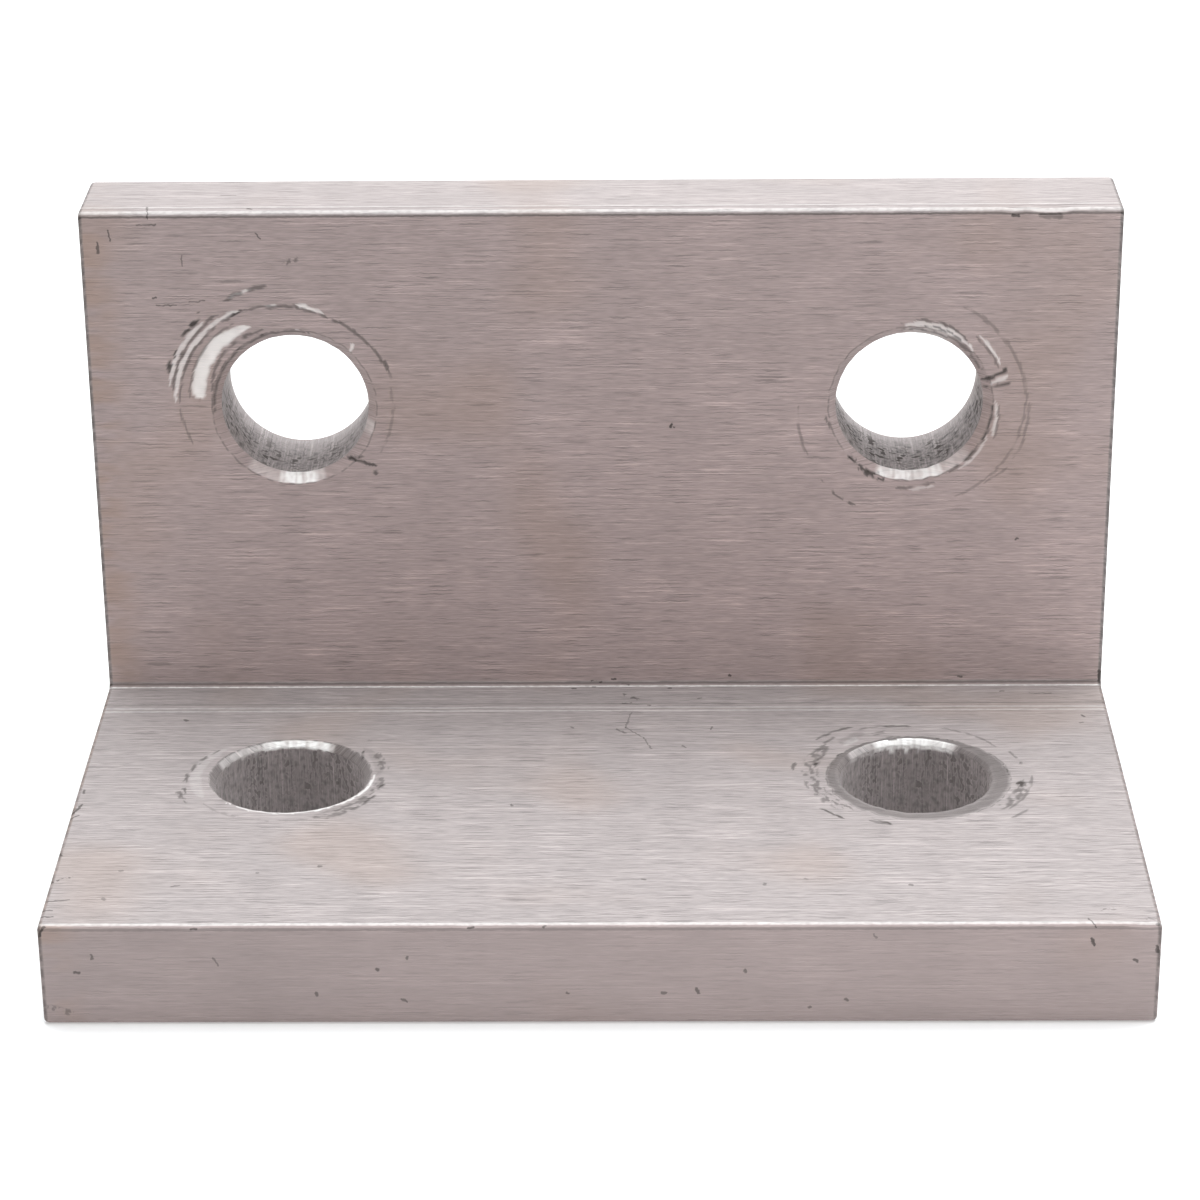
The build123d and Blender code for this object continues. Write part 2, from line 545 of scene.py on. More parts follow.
# Pits, nicks and scratches away from the holes, in millimetres on the unrolled skin: along X, and
# y + z, which runs from the front edge (-19.05) over the base leg, the root (19.05) and the
# upright leg to the back edge (57.15). Rows of x, v, run each way, half width and tone.
FACE_NICKS = [
    (-27.25, 44.85, 1.2, -0.05, 0.05, -0.45), (-25.25, 45.05, 1, 0.05, 0.05, -0.45),
    (-27.45, 45.3, 0.2, 0, 0.07, -0.6), (25.95, 29, 0.1, 0.05, 0.09, -0.6),
    (-26.3, 13.95, 0.15, -0.05, 0.12, -0.6), (4.35, 36.85, -0.07, -0.15, 0.1, -0.8),
    (4.48, 36.68, 0.06, -0.02, 0.06, -0.6), (-29.92, 49.65, 0.1, -0.65, 0.06, -0.6),
    (-25.52, 48.05, -0.01, -0.7, 0.05, -0.45), (-20.97, 49.4, 0.27, -0.3, 0.06, -0.55),
    (-28.2, 50, 1.2, 0, 0.05, -0.5), (-30.63, 48.9, 0.03, -0.7, 0.08, -0.6),
    (0.5, 19.42, 0.25, -0.02, 0.07, -0.7), (7.95, 19.65, 0.1, -0.03, 0.08, -0.7),
    (22.6, 19.5, 0.2, 0, 0.07, -0.6), (31.6, 19.2, 0, 0.7, 0.12, -0.8), (-2, 18.4, 0.2, 0, 0.09, -0.65),
    (-0.75, 18.6, 0.15, 0, 0.07, -0.6), (4.15, 18.4, 0.1, 0, 0.1, -0.65), (2.8, 15.9, 0.15, 0, 0.07, -0.6),
    (6, 16.9, 0.15, 0.05, 0.07, -0.5), (-2, 12.8, 0.15, -0.1, 0.09, -0.5),
    (0.85, 12.45, 0.55, -0.5, 0.1, -0.45), (1.75, 14.9, -0.35, -2.2, 0.06, -0.35),
    (1.4, 12.7, 1.15, -1.5, 0.07, -0.4), (2.55, 11.2, 0.45, -1.5, 0.06, -0.4),
    (4.95, 10.1, 0.15, -0.2, 0.08, -0.45), (6.75, 12.4, 0.05, 0.4, 0.06, -0.5),
    (-5.4, 2.3, 0.05, -0.2, 0.08, -0.5), (-31.35, 4.3, 0.05, -0.4, 0.1, -0.6),
    (-31.2, 2.4, -0.4, -1.2, 0.1, -0.65), (-31.2, 1, -0.4, -0.4, 0.08, -0.6),
    (-31.7, -3.9, 0.2, -0.2, 0.1, -0.5), (-31.7, -11.5, 0.7, 0, 0.08, -0.7),
    (-31.6, -10.8, 0.5, 0.1, 0.07, -0.6), (-31.5, -9.7, 1.2, 0.2, 0.07, -0.5),
    (-31.3, -12.6, -0.3, -0.6, 0.1, -0.6), (-28.4, -9.3, 0.1, -0.2, 0.12, -0.35),
    (-24.6, -7.9, 0.4, 0.1, 0.08, -0.45), (30, 14.3, 0.1, -0.2, 0.1, -0.6),
    (29.75, 13.2, 0.2, 0.05, 0.06, -0.5), (25.2, 17.8, 0.2, 0, 0.08, -0.5), (27, 17.5, 1.4, 0, 0.05, -0.5),
    (27.6, -11.9, 0.4, -0.9, 0.06, -0.5), (-28.75, -14.5, 0.05, -0.25, 0.09, -0.5),
    (-29.75, -15.65, 0.25, 0, 0.1, -0.6), (-21.85, -14.7, 0.25, -0.5, 0.07, -0.4),
    (27.8, -13.6, 0.15, -0.4, 0.1, -0.7), (30.25, -15, 0.15, -0.05, 0.11, -0.6),
    (-10.85, -14.65, 0, -0.1, 0.1, -0.5), (-11.2, -17.4, 0.25, -0.2, 0.09, -0.5),
    (-1.8, -17, 0.05, -0.05, 0.09, -0.5), (-7.3, -12.72, 0.2, 0.06, 0.11, -0.6),
    (-3.15, -12.75, 0.15, 0.1, 0.1, -0.5), (-23, -12.78, 0.3, 0.04, 0.1, -0.5),
    (31.5, -14.1, 0, -0.3, 0.12, -0.6), (26.8, 50.4, 1, -0.05, 0.26, -0.36),
    (25, 50.4, 0.3, -0.05, 0.12, -0.7), (-23.3, 54.05, 0.9, -0.05, 0.05, -0.5),
    (-21.4, 51.4, 0.25, -0.05, 0.09, -0.7), (-27.6, 51.8, 0.15, -1.4, 0.05, -0.5),
    (8.25, -15.55, 0.05, -0.15, 0.11, -0.5), (3.6, -17.05, 0.15, 0, 0.11, -0.5),
    (5.55, -16.8, 0.1, -0.2, 0.11, -0.55), (14, -17.45, 0.1, -0.1, 0.11, -0.5),
    (11.9, -18, 0.1, 0.05, 0.11, -0.5), (15.5, -13.2, 0.15, -0.3, 0.06, -0.35),
    (-12.6, -15.45, 0.1, -0.05, 0.12, -0.6), (-16.1, -17, 0.05, -0.15, 0.1, -0.5),
    (2.5, -7.2, 0.1, -0.05, 0.12, -0.45), (9.5, -7.7, 0, -0.2, 0.11, -0.4),
    (11.85, -7.15, 0.1, -0.05, 0.09, -0.35), (17.85, -7.9, 0.1, -0.05, 0.12, -0.45),
    (-16.35, -5.5, 0.15, 0, 0.12, -0.5), (-19.9, -6.3, 0.1, 0, 0.1, -0.4), (-27.9, -6, 0.2, 0, 0.1, -0.35),
]
FACE_SCUFFS = [
    (-19.2, 47.6, 0.6, 0.2, 0.22, -0.4), (-0.75, 19.3, 0.55, -0.1, 0.08, -0.6),
    (1.2, 18.95, 0.3, -0.05, 0.12, -0.6), (1.3, 17.5, 0.8, -0.7, 0.2, -0.6),
    (1.1, 16.2, 0.6, 0.1, 0.09, -0.5), (-31.6, -7.4, 1, 0.7, 0.14, -0.7),
    (31, -11.9, 0.5, -0.6, 0.18, -0.35), (28.5, -10.9, 0.8, 0.1, 0.16, -0.35),
    (25.7, -10.6, 0.4, -0.2, 0.1, -0.35), (-31.3, -17.9, 1.1, -0.3, 0.22, -0.35),
]
FACE_MARKS = [Scratch(*row) for row in FACE_NICKS] + [Scrape(*row) for row in FACE_SCUFFS]

# Lines along the stock: painted highlights on the rounded edges and the root, painted shade beside them and
# in the root, and three lines on the base before the root. Rows of where on the unrolled skin, half width,
# tone
PAINTED_EDGE_LINES = [
    (-12.42, 0.19, 0.45), (-12.86, 0.16, -0.28), (18.72, 0.12, 0.8), (19.08, 0.14, -0.45),
    (50.88, 0.25, 0.42), (51.45, 0.07, -0.25), (51.72, 0.09, 0.3), (50.5, 0.1, -0.5),
    (16.15, 0.12, -0.22), (15.6, 0.14, 0.26), (15.15, 0.12, 0.32),
]

# Dents in the long edges, in millimetres: the leg whose free end it is, X, half width, depth
EDGE_DENTS = [
    ("upright", 27.3, 1.3, 0.2), ("upright", 25.1, 0.6, 0.12),
    ("base", -7.2, 0.7, 0.14), ("base", -22.9, 0.8, 0.12), ("base", 31, 1, 0.25),
]
DENT_REACH = 1 * MM

# The random fields that break up the marks: how far they move an edge, and each field's size
TORN = 0.07 * MM
WANDER_SIZE, PATCH_SIZE, FLECK_SIZE, FLECK_DEPTH = 0.3 * MM, 0.55 * MM, 0.22 * MM, 0.16 * MM

# Painted light along the section, as (place on the unrolled skin, factor): the upright is painted lighter,
# most in its lower half, where the corner shades it, and the base a little lighter between its front and the
# root
PAINTED_SHADES = [
    (-19.05, 1.0), (-12.7, 1.02), (5, 1.03), (16, 1.0), (18.6, 1.0), (19.8, 1.08), (23, 1.12),
    (29, 1.10), (35, 1.09), (43, 1.05), (50.4, 1.04), (51.2, 0.96), (57.15, 0.94),
]


def arc_body(radius, angle, arc):
    """How strongly an arc's mark touches each point, and how far off its line the point is as a share
    of the width: 1 - off^6, with the width half_width * sqrt(along / first) * sqrt((1 - along) / last)."""
    first, last = arc.ends
    sweep = (arc.turn_to - arc.turn_from) * DEGREE
    along = np.mod(angle - arc.turn_from * DEGREE, 2 * pi) / sweep
    line = (arc.start + (arc.end - arc.start) * along + 4 * arc.bow * along * (1 - along)) * MM
    opening = np.clip(along / first, 0, 1) * np.clip((1 - along) / last, 0, 1)
    width = arc.half_width * MM * np.sqrt(opening) + 1e-9
    off = np.clip((radius - line) / width, -1, 1)
    return 1 - off**6, off


def scratch_distance(across, up, scratch):
    """How far each point lies from the nearest point of a straight mark."""
    x, v = scratch.x * MM, scratch.v * MM
    run = np.array([scratch.run_x, scratch.run_v]) * MM
    share = np.clip(((across - x) * run[0] + (up - v) * run[1]) / (run @ run), 0, 1)
    return np.hypot(across - x - run[0] * share, up - v - run[1] * share)


def mark_body(across, up, mark):
    """How strongly a mark touches each point beside its hole, 0 to 1: 1 - off^6 for an arc, and
    1 - (distance / half width)^4 for a straight one."""
    if isinstance(mark, Arc):
        return arc_body(np.hypot(across, up), np.arctan2(up, across), mark)[0]
    away = scratch_distance(across, up, mark) / (mark.half_width * MM)
    return np.clip(1 - away**4, 0, 1)


def hole_tones(name, across, up):
    """How bared, partly as painted highlight, and how dark the marks leave each point beside a hole.
    Random fields move the marks' edges, break the dark lines, and keep only flecks of a scuffed mark, which
    run round the hole."""
    seed = HOLES[name].seed * 10
    across = across + TORN * random_field(across, up, WANDER_SIZE, seed)
    up = up + TORN * random_field(across, up, WANDER_SIZE, seed + 1)
    patchy = random_field(across, up, PATCH_SIZE, seed + 2)
    radius, angle = np.hypot(across, up), np.arctan2(up, across)
    round_hole = np.mod(angle / (2 * pi), 1) * FIELD_CELLS
    flecks = random_field(round_hole, radius / FLECK_DEPTH, 1, seed + 3)
    flecks = smooth_step(-0.15, 0.35, flecks + 0.4 * random_field(across, up, FLECK_SIZE, seed + 4))
    bare_and_highlight, dark = np.zeros_like(across), np.zeros_like(across)
    for mark in HOLE_MARKS[name]:
        body = mark_body(across, up, mark)
        if mark.tone > 0:
            bare_and_highlight += mark.tone * body * (0.92 + 0.08 * patchy)
        else:
            dark -= mark.tone * body * (flecks if mark.scuffed else smooth_step(-0.9, -0.3, patchy))
    return np.minimum(bare_and_highlight, 1), np.minimum(dark, 1)


def polish_and_highlight_round(hole, angle):
    """How bright the chamfer is at each angle, smoother metal with a painted highlight where it faces the
    light: sectors with soft ends and fine grooves.
    """
    degrees = np.mod(angle / DEGREE + 1.5 * ripple(angle, 5, 30), 360)
    polish_and_highlight = np.zeros_like(angle)
    for start, stop, bright in hole.bright:
        window = smooth_step(start - 5, start + 5, degrees) * smooth_step(stop + 4, stop - 4, degrees)
        polish_and_highlight = np.maximum(polish_and_highlight, bright * window)
    return polish_and_highlight * (1 - 0.22 * np.clip(ripple(angle, 9, 60, 24), 0, 1.5))


def beside(hole, points):
    """Where points lie by a hole: across, up the leg, the angle, and the depth below the face."""
    centre, upright = hole_centre(hole), hole.leg == "upright"
    across, up = points[:, 0] - centre[0], points[:, 2 if upright else 1] - centre[1]
    deep = points[:, 1] - upright_y if upright else thickness - points[:, 2]
    return across, up, np.arctan2(up, across), deep


def mark_faces(points, labels):
    """What the tools left on the inner faces and in the bores, with painted highlights and painted shade,
    one value per point: height, how bared and highlighted, how dark, which holds painted shade on
    unpolished chamfers too, how smooth and highlighted, how torn, and rim, which is how far the point
    lies inside a chamfer's outer edge. A gouge is deepest on its upper side: height = rise * body * (1 + off
    * sin(angle)) / 2."""
    found = {key: np.zeros(len(points)) for key in ("height", "bare_and_highlight", "dark", "polish_and_highlight", "torn")}
    found["rim"] = np.full(len(points), -1.0)
    for number, (name, hole) in enumerate(HOLES.items()):
        here = np.flatnonzero(labels == number)
        across, up, angle, _ = beside(hole, points[here])
        lift = np.zeros(len(here))
        for arc in HOLE_MARKS[name]:
            if isinstance(arc, Arc) and arc.rise:
                body, off = arc_body(np.hypot(across, up), angle, arc)
                lift += arc.rise * MM * body * (1 + off * np.sin(angle)) / 2
        depth, inside, slope = cone_depth(hole, across, up)
        blunt = (inside > 0) & (slope < STEEP)
        polish_and_highlight = polish_and_highlight_round(hole, angle) * ~blunt
        # Painted shade: an unpolished chamfer on a base hole is darkened, the blunt cone more
        painted_shade = hole.painted_shade * ((inside > 0) + 0.4 * blunt) * smooth_step(0.25, 0, polish_and_highlight)
        found["height"][here] = lift * (1 - smooth_step(0.02 * MM, 0.12 * MM, depth)) - depth
        found["bare_and_highlight"][here], dark = hole_tones(name, across, up)
        # The dark holds the marks' dark and the painted shade of unpolished chamfers
        found["dark"][here] = np.maximum(dark, painted_shade)
        found["rim"][here], found["polish_and_highlight"][here] = inside, polish_and_highlight

        wall = np.flatnonzero(labels == BORE + number)
        _, _, angle, deep = beside(hole, points[wall])
        # Painted highlight: the bore's entrance takes the chamfer's bright sectors down to a ragged depth, as
        # smoother metal too
        end = (hole.polish_and_highlight_depth + 0.07 * ripple(angle, number, 40, 8)) * MM
        polish_and_highlight = polish_and_highlight_round(hole, angle) * smooth_step(end + 0.04 * MM, end - 0.04 * MM, deep)
        polish_and_highlight *= hole.polish_and_highlight_depth > 0
        torn = smooth_step((hole.torn + 0.4) * MM, (hole.torn - 0.4) * MM, deep)
        found["torn"][wall] = hole.rough * torn * (1 - polish_and_highlight)
        found["rim"][wall], found["polish_and_highlight"][wall] = 0.5 * MM, polish_and_highlight
    return found


def dent_edges(points):
    """Points near a dented edge pushed back and down into the metal: depth * (1 - (x off / half
    width)^2) * (1 - distance to the edge / reach)^2."""
    moved = points.copy()
    for leg, x, half_width, depth in EDGE_DENTS:
        y, z = (upright_y, leg_height) if leg == "upright" else (front_y, thickness)
        near = np.clip(1 - np.hypot(points[:, 1] - y, points[:, 2] - z) / DENT_REACH, 0, 1)
        window = np.clip(1 - ((points[:, 0] - x * MM) / (half_width * MM)) ** 2, 0, 1)
        amount = depth * MM * window * near**2
        moved[:, 1] += amount
        moved[:, 2] -= amount
    return moved


def new_object(name, data):
    """An object in the scene that shows the data."""
    made = bpy.data.objects.new(name, data)
    bpy.context.scene.collection.objects.link(made)
    return made


def write_mesh(name, points, quads):
    """A mesh object from the arrays, smooth, with its faces turned outwards."""
    mesh = bpy.data.meshes.new(name)
    mesh.from_pydata(points.tolist(), [], quads.tolist())
    work = bmesh.new()
    work.from_mesh(mesh)
    bmesh.ops.recalc_face_normals(work, faces=work.faces)
    work.to_mesh(mesh)
    work.free()
    mesh.polygons.foreach_set("use_smooth", np.ones(len(quads), bool))
    return new_object(name, mesh)


SAW_SLANT = 12 * DEGREE


def lay_of(points, labels):
    """Coordinates along and across the tools' lay: (x, y + z) on the drawn faces, (depth, bore radius
    * angle) in a bore, stretched for finer marks, and the saw's slant on a sawn end."""
    x, y, z = points.T
    lay = np.stack([x, y + z, np.zeros_like(x)], 1)
    for number, hole in enumerate(HOLES.values()):
        inside = labels == BORE + number
        depth, seam, finer = (y, 90, 0.8) if hole.leg == "upright" else (z, -90, 1.5)
        turn = beside(hole, points[inside])[2] - seam * DEGREE
        lay[inside, 0] = depth[inside]
        lay[inside, 1] = bore_radius * np.mod(turn, 2 * pi) * finer
    ends = labels == SAWN
    along, across = cos(SAW_SLANT), sin(SAW_SLANT)
    lay[ends, 0] = y[ends] * across + z[ends] * along
    lay[ends, 1] = y[ends] * along - z[ends] * across
    return lay


def nicked_faces(lay, marked, quads):
    """Which faces a mark of the unrolled skin may touch: the face's middle is nearer to it than its
    half width, its edge's wander and the face's own reach together."""
    corners = lay[quads][:, :, :2]
    middle = corners.mean(1)
    reach = np.linalg.norm(corners - middle[:, None], axis=2).max(1)
    near = np.zeros(len(quads), bool)
    for mark in FACE_MARKS:
        near |= scratch_distance(*middle.T, mark) < reach + (1.2 * mark.half_width + 0.12) * MM
    return near & marked[quads].any(1)


def bracket_skin():
    """The finished bracket: the skin with its marks and attributes. The faces that nicks may touch
    take the second material."""
    points, quads, labels = build_skin()
    found = mark_faces(points, labels)
    lay = lay_of(points, labels)
    upright, base = np.isin(labels, (0, 1)), np.isin(labels, (2, 3))
    edges, faces = labels == EDGE, labels < BORE
    bores = ~faces & (labels < SAWN)
    front = edges & (points[:, 2] < thickness + 0.1 * MM)
    outside = (points[:, 2] < 0.01 * MM) | (points[:, 1] > back_y - 0.01 * MM)
    marked = (faces | edges) & ~outside
    placed = points.copy()
    placed[upright, 1] -= found["height"][upright]
    placed[base, 2] += found["height"][base]
    piece = write_mesh("worn_bracket", dent_edges(placed), quads)
    values = {name: found[name] for name in ("bare_and_highlight", "dark", "polish_and_highlight", "rim", "torn")}
    # Painted light: the inner faces take the painted light factor along the section, everything else 1
    values["shade"] = np.where(faces, np.interp(lay[:, 1] / MM, *zip(*PAINTED_SHADES)), 1)
    values["burr"] = edges & (np.abs(points[:, 0]) > face_end_x + 0.2 * end_break)
    # Painted light tint: the base, the bores and the edges are painted the cooler grey that the light gives
    # them, the front face less so
    values["cool_light_tint"] = base + bores + 0.8 * edges - 0.6 * front
    values["busy"] = 1 + 0.2 * base - 0.6 * front + 0.6 * (labels == SAWN)
    values["marked"] = marked
    for name, value in values.items():
        layer = piece.data.attributes.new(name, "FLOAT", "POINT")
        layer.data.foreach_set("value", np.ascontiguousarray(value, np.float32))
    layer = piece.data.attributes.new("lay", "FLOAT_VECTOR", "POINT")
    layer.data.foreach_set("vector", np.ascontiguousarray(lay, np.float32).ravel())
    for material in (worn_aluminium(), nicked_aluminium()):
        piece.data.materials.append(material)
    slots = nicked_faces(lay, marked, quads).astype(np.int32)
    piece.data.polygons.foreach_set("material_index", slots)
    return piece


# -------- material helpers


class Graph:
    """A node tree with short ways to add nodes. A call gives the new node's output, but node gives
    the node."""

    def __init__(self, tree):
        self.tree = tree

    def node(self, kind, *values, **settings):
        """A node with its settings, and its first inputs fed in order."""
        made = self.tree.nodes.new(kind)
        for key, value in settings.items():
            setattr(made, key, value)
        for socket, value in zip(made.inputs, values):
            self.feed(socket, value)
        return made

    def feed(self, socket, value):
        """Links a socket, or sets a plain value."""
        if isinstance(value, bpy.types.NodeSocket):
            self.tree.links.new(value, socket)
        elif value is not None:
            socket.default_value = value

    def math(self, operation, *values):
        return self.node("ShaderNodeMath", *values, operation=operation).outputs[0]

    def vector(self, operation, *values):
        return self.node("ShaderNodeVectorMath", *values, operation=operation).outputs[0]

    def total(self, *values):
        return reduce(partial(self.math, "ADD"), values)

    def product(self, *values):
        return reduce(partial(self.math, "MULTIPLY"), values)

    def minus(self, value, taken):
        return self.math("SUBTRACT", value, taken)

    def ramp(self, value, low_end, high_end, to_low=0.0, to_high=1.0):
        """Smooth step from to_low to to_high as the value goes from low_end to high_end."""
        ends = (low_end, high_end, to_low, to_high)
        settings = {"interpolation_type": "SMOOTHSTEP", "clamp": False}
        return self.node("ShaderNodeMapRange", value, *ends, **settings).outputs[0]

    def noise(self, place, size=1.0, detail=1.0, roughness=0.6):
        made = self.node("ShaderNodeTexNoise", place, noise_dimensions="2D")
        for name, value in (("Scale", 1 / size), ("Detail", detail), ("Roughness", roughness)):
            made.inputs[name].default_value = value
        return made.outputs["Fac"]

    def attribute(self, name, output="Fac"):
        return self.node("ShaderNodeAttribute", attribute_name=name).outputs[output]

    def split(self, vector):
        """The vector's X and Y."""
        return self.node("ShaderNodeSeparateXYZ", vector).outputs[:2]

    def join(self, x, y):
        return self.node("ShaderNodeCombineXYZ", x, y).outputs[0]

    def blend(self, share, first, second):
        """Colours mixed by a share."""
        made = self.node("ShaderNodeMix", share, data_type="RGBA")
        self.feed(made.inputs[6], first)
        self.feed(made.inputs[7], second)
        return made.outputs[2]

    def group(self, name, *values):
        """The outputs of one of the GROUPS."""
        return self.node("ShaderNodeGroup", *values, node_tree=GROUPS[name]).outputs


def new_group(name, inputs, outputs):
    """An empty shader group. A socket is its name, or its name and kind where that isn't Float.
    Gives the group's graph and its inputs by name."""
    tree = bpy.data.node_groups.new(name, "ShaderNodeTree")
    for way, sockets in (("INPUT", inputs), ("OUTPUT", outputs)):
        for socket in sockets:
            label, kind = (socket, "Float") if isinstance(socket, str) else socket
            tree.interface.new_socket(label, in_out=way, socket_type="NodeSocket" + kind)
    graph = Graph(tree)
    return graph, graph.node("NodeGroupInput").outputs


def hairlines_group():
    """Crisp fine lines along the lay, 0 to 1: noise stretched to the line's length and thickness in
    metres, as a smooth step from Lowest to Highest."""
    inputs = [("Lay", "Vector"), "Length", "Thickness", "Seed", "Lowest", "Highest"]
    graph, given = new_group("hairlines", inputs, ["Lines"])
    along, across = graph.split(given["Lay"])
    along = graph.total(graph.math("DIVIDE", along, given["Length"]), given["Seed"])
    across = graph.math("DIVIDE", across, given["Thickness"])
    lines = graph.noise(graph.join(along, across), roughness=0.4)
    graph.node("NodeGroupOutput", graph.ramp(lines, given["Lowest"], given["Highest"]))
    return graph.tree


def scratch_group():
    """A straight mark: 1 on its line and 0 beyond its half width, by the distance to its nearest
    point. X and Y are the place, Start is one end, and Along is the unit vector to the other."""
    inputs = ["X", "Y", "Start X", "Start Y", "Along X", "Along Y", "Length", "Half Width"]
    graph, given = new_group("scratch", inputs, ["Mark"])
    product, minus, ramp = graph.product, graph.minus, graph.ramp
    right = minus(given["X"], given["Start X"])
    up = minus(given["Y"], given["Start Y"])
    ahead = graph.total(product(up, given["Along Y"]), product(right, given["Along X"]))
    aside = minus(product(right, given["Along Y"]), product(up, given["Along X"]))
    past = graph.math("MINIMUM", graph.math("MAXIMUM", ahead, 0.0), given["Length"])
    past = minus(ahead, past)
    away = graph.math("SQRT", graph.math("MULTIPLY_ADD", past, past, product(aside, aside)))
    away = graph.math("DIVIDE", away, given["Half Width"])
    graph.node("NodeGroupOutput", ramp(away, 1.2, 0.5))
    return graph.tree


METAL = (0.53, 0.457, 0.447, 1)
# The cooler grey, painted where light tints the metal
COOLER = (0.50, 0.457, 0.452, 1)
# Bared metal, and painted highlights on the chamfers, marks and edges
BARE_METAL_AND_HIGHLIGHT = (0.97, 0.96, 0.95, 1)
# Dirt, and painted shade in the root, beside the edges and on unpolished chamfers
DIRT_AND_SHADE = (0.10, 0.085, 0.08, 1)
TAN = (0.50, 0.39, 0.33, 1)
DARKEST_DIRT_AND_SHADE = 0.88

# Lines along the lay: length, thickness, seed, and the noise's step from and to
LINES = {
    "dark": (3.0 * MM, 0.075 * MM, 3, 0.59, 0.69),
    "light": (5.0 * MM, 0.08 * MM, 7, 0.60, 0.72),
    "drawn": (0.9 * MM, 0.09 * MM, 5, 0.2, 0.8),
    "long": (16 * MM, 0.30 * MM, 1, 0.66, 0.76),
}


def metal_tone(graph, lay, along_x, wander, noises):
    """The metal's colour and the height of its grain: 1 less crisp dark lines, plus bright lines, drawn
    grain and soft clouds, times the painted light along the section and across the width, times the
    metal's colour, painted a cooler grey where light tints it, with faint stains."""
    product, minus, ramp = graph.product, graph.minus, graph.ramp
    flecks, clouds = noises
    cool_light_tint, busy, torn = (graph.attribute(name) for name in ("cool_light_tint", "busy", "torn"))
    wavy = graph.vector("ADD", lay, graph.join(0.0, product(wander, 0.10 * MM)))
    dark, light = (graph.group("lines", wavy, *LINES[name])[0] for name in ("dark", "light"))
    drawn, long = (graph.group("lines", lay, *LINES[name])[0] for name in ("drawn", "long"))
    patches = product(ramp(clouds, 0.35, 0.65, 0.6, 1.15), busy)
    tone = graph.total(
        1.0,
        product(dark, patches, -0.21),
        product(light, patches, 0.16),
        product(long, cool_light_tint, 0.14),
        product(minus(drawn, 0.5), busy, 0.12),
        product(minus(clouds, 0.5), 0.12),
        product(minus(flecks, 0.58), torn, 0.8),
    )
    # Painted light: the metal darker towards the left end and lighter towards the right
    painted_light_across = ramp(along_x, -sawn_x, sawn_x, 0.975, 1.03)
    # Painted light: the tone times the painted light factor along the section
    tone = product(tone, graph.attribute("shade"), painted_light_across)
    # The metal's colour, painted towards the cooler grey where light tints it
    colour = graph.vector("SCALE", graph.blend(cool_light_tint, METAL, COOLER), None, None, tone)
    stains = ramp(graph.noise(lay, 11 * MM, roughness=0.5), 0.52, 0.8, 0.0, 0.25)
    left_end = product(ramp(along_x, -28.6 * MM, -31.4 * MM), minus(1.0, cool_light_tint))
    left_end = product(left_end, ramp(clouds, 0.35, 0.6), 0.55)
    height = minus(product(light, 0.5), product(dark, patches))
    return graph.blend(graph.math("MAXIMUM", stains, left_end), colour, TAN), height


def painted_edge_lines(graph, place):
    """The bright lines, mostly painted highlights, and the dark lines, mostly painted shade, along the stock,
    each a sum.
    """
    sums = {1: 0.0, -1: 0.0}
    for middle, half_width, tone in PAINTED_EDGE_LINES:
        off = graph.math("ABSOLUTE", graph.minus(place, middle * MM))
        line = graph.ramp(off, half_width * MM, 0.4 * half_width * MM)
        side = 1 if tone > 0 else -1
        sums[side] = graph.math("MULTIPLY_ADD", line, abs(tone), sums[side])
    return sums[1], sums[-1]


